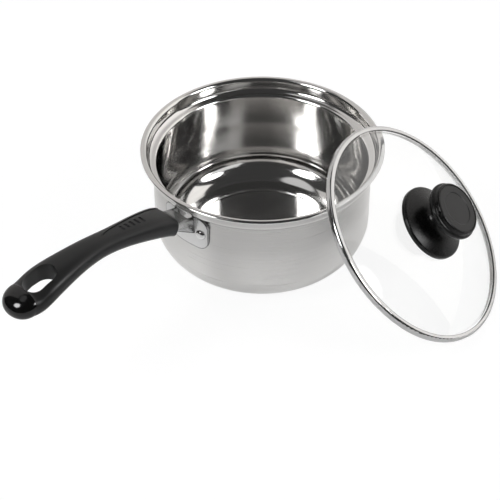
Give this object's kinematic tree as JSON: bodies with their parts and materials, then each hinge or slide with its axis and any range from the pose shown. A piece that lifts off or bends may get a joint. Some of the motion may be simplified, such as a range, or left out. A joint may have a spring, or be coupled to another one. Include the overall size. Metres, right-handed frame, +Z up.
{
  "type": "saucepan with glass lid",
  "caption": "Straight-sided saucepan with a pouring lip, a riveted arched handle with a hanging hole, and a domed glass lid with a knob that leans on the pan and lifts off.",
  "frame": {"origin": "centre of the underside of the pan's base, on the pan's axis", "axes": "+Z up along the pan's axis, the handle points along -X, the lid leans out towards -Y"},
  "size_m": [0.3319, 0.2666, 0.109],
  "materials": {
    "steel_body": "satin outside, bright inside",
    "steel_bright": "bright",
    "steel_rim": "polished",
    "grip_plastic": "fine matt",
    "cap_plastic": "gloss",
    "knob_plastic": "gloss",
    "disc_plastic": "satin",
    "glass": "clear",
    "silicone": "matt",
    "brass": "turned",
    "zinc": "zinc plated"
  },
  "bodies": {
    "pan": {"pan_body": "steel_body", "handle_bracket": "steel_bright", "rivet_left": "steel_bright", "rivet_right": "steel_bright", "handle_grip": "grip_plastic", "handle_end_cap": "cap_plastic", "handle_nut": "zinc", "handle_screw": "zinc"},
    "lid": {"lid_glass": "glass", "lid_rim": "steel_rim", "knob_skirt": "knob_plastic", "knob_head": "knob_plastic", "knob_disc": "disc_plastic", "knob_insert": "brass", "knob_screw": "zinc", "knob_washer": "zinc", "knob_pad_upper": "silicone", "knob_pad_lower": "silicone"}
  },
  "joints": [
    {"name": "lid_lift", "type": "slide", "parent": "pan", "child": "lid", "axis": [0, 0, 1], "range_m": [0, 0.12]}
  ]
}
